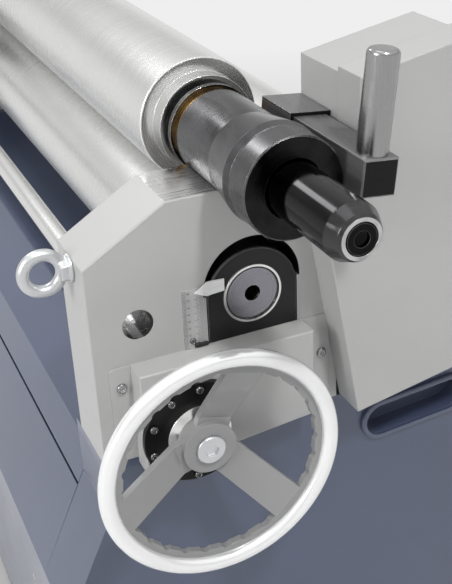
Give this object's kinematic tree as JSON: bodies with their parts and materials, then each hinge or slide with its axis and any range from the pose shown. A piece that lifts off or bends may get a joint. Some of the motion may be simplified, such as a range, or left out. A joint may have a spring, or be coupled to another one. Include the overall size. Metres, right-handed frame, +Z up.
{
  "type": "sheet metal rolling machine",
  "caption": "Motor-driven sheet metal rolling machine: a swing-up top roll, a lower and a rear roll between two cheeks, with a handwheel, scale and base cabinet.",
  "frame": {"origin": "middle of the bounding box at floor level, under the feet", "axes": "+X along the rolls to the free end with the handwheel, +Z up, the operator stands at -Y"},
  "size_m": [2.185, 0.695, 1.2369],
  "materials": {
    "cheek_paint": "satin light grey",
    "roll_steel": "ground and polished",
    "dark_steel": "burnished, oiled",
    "ring_steel": "turned bright",
    "blackened": "blackened, satin",
    "bronze": "turned bearing bronze",
    "rim_chrome": "polished",
    "cast_grey": "smooth casting, clear coated",
    "zinc": "zinc plated",
    "scale_steel": "satin, engraved",
    "pointer_aluminium": "brushed",
    "cabinet_paint": "satin grey blue",
    "motor_paint": "satin dark grey",
    "green_plastic": "moulded",
    "black_plastic": "moulded",
    "red_plastic": "moulded"
  },
  "bodies": {
    "frame": {"cheek_right": "cheek_paint", "cheek_left": "cheek_paint", "rear_housing": "cheek_paint", "hood": "cheek_paint", "drive_housing": "cheek_paint", "control_box": "cheek_paint", "tie_bar_front": "roll_steel", "tie_bar_rear": "roll_steel", "bar_guide": "dark_steel", "swivel_cup": "dark_steel", "bearing_boss": "ring_steel", "guide_strips": "ring_steel", "button_collars": "ring_steel", "bearing_flange": "blackened", "jack_gearbox_right": "blackened", "jack_gearbox_left": "blackened", "eye_bolts_front": "zinc", "eye_bolts_rear": "zinc", "hood_screws": "zinc", "flange_bolts": "zinc", "scale_screw": "zinc", "levelling_feet": "zinc", "scale_plate": "scale_steel", "pedestal_right": "cabinet_paint", "pedestal_left": "cabinet_paint", "grip_lip": "cabinet_paint", "front_panel_upper": "cabinet_paint", "front_panel_lower": "cabinet_paint", "deck": "cabinet_paint", "rear_panel": "cabinet_paint"},
    "top_carrier": {"swivel_ball": "dark_steel", "drive_gearbox": "motor_paint", "drive_motor": "motor_paint", "thrust_ring": "dark_steel", "bronze_bush": "bronze", "top_sleeve": "dark_steel", "sleeve_end_ring": "dark_steel"},
    "top_roll_body": {"top_roll": "roll_steel", "nose_plug": "blackened"},
    "lower_slide": {"bearing_block_right": "blackened", "bearing_block_left": "blackened", "lower_bushes": "ring_steel", "lift_screws": "dark_steel", "pointer": "pointer_aluminium"},
    "lower_roll_body": {"lower_roll": "roll_steel"},
    "rear_slide": {"rear_block_right": "blackened", "rear_block_left": "blackened", "rear_bushes": "ring_steel", "rear_lift_screws": "dark_steel"},
    "rear_roll_body": {"rear_roll": "roll_steel"},
    "handwheel": {"handwheel_rim": "rim_chrome", "handwheel_web": "cast_grey", "hub_cap": "zinc", "cross_shaft": "roll_steel"},
    "locking_slide": {"locking_bar": "dark_steel", "bar_handle": "ring_steel"},
    "forward_button": {"button_forward": "green_plastic"},
    "reverse_button": {"button_reverse": "black_plastic"},
    "stop_head": {"stop_button": "red_plastic"}
  },
  "joints": [
    {"name": "top_roll_lift", "type": "hinge", "parent": "frame", "child": "top_carrier", "pos_m": [-0.7445, -0.043, 1.086], "axis": [0, -1, 0], "range_deg": [0, 3]},
    {"name": "top_roll_spin", "type": "hinge", "parent": "top_carrier", "child": "top_roll_body", "pos_m": [0.0175, -0.043, 1.086], "axis": [1, 0, 0], "continuous": true},
    {"name": "lower_roll_height", "type": "slide", "parent": "frame", "child": "lower_slide", "axis": [0, 0, 1], "range_m": [-0.015, 0.01]},
    {"name": "lower_roll_spin", "type": "hinge", "parent": "lower_slide", "child": "lower_roll_body", "pos_m": [0.0175, -0.0475, 0.9], "axis": [1, 0, 0], "continuous": true},
    {"name": "rear_roll_travel", "type": "slide", "parent": "frame", "child": "rear_slide", "axis": [0, -0.1736, 0.9848], "range_m": [-0.07, 0.1]},
    {"name": "rear_roll_spin", "type": "hinge", "parent": "rear_slide", "child": "rear_roll_body", "pos_m": [0.0175, 0.17475, 0.92944], "axis": [1, 0, 0], "continuous": true},
    {"name": "handwheel_turn", "type": "hinge", "parent": "frame", "child": "handwheel", "pos_m": [0.9515, -0.1515, 0.743], "axis": [-1, 0, 0], "range_deg": [-1080, 720]},
    {"name": "locking_bar_slide", "type": "slide", "parent": "frame", "child": "locking_slide", "axis": [1, 0, 0], "range_m": [0, 0.045]},
    {"name": "forward_press", "type": "slide", "parent": "frame", "child": "forward_button", "axis": [0, 1, 0], "range_m": [0, 0.003], "stiffness_N_per_m": 500},
    {"name": "reverse_press", "type": "slide", "parent": "frame", "child": "reverse_button", "axis": [0, 1, 0], "range_m": [0, 0.003], "stiffness_N_per_m": 500},
    {"name": "stop_press", "type": "slide", "parent": "frame", "child": "stop_head", "axis": [0, 1, 0], "range_m": [0, 0.003], "stiffness_N_per_m": 500}
  ],
  "couplings": [
    {"joint": "lower_roll_height", "follows": "handwheel_turn", "m_per_rad": 0.00079577}
  ]
}
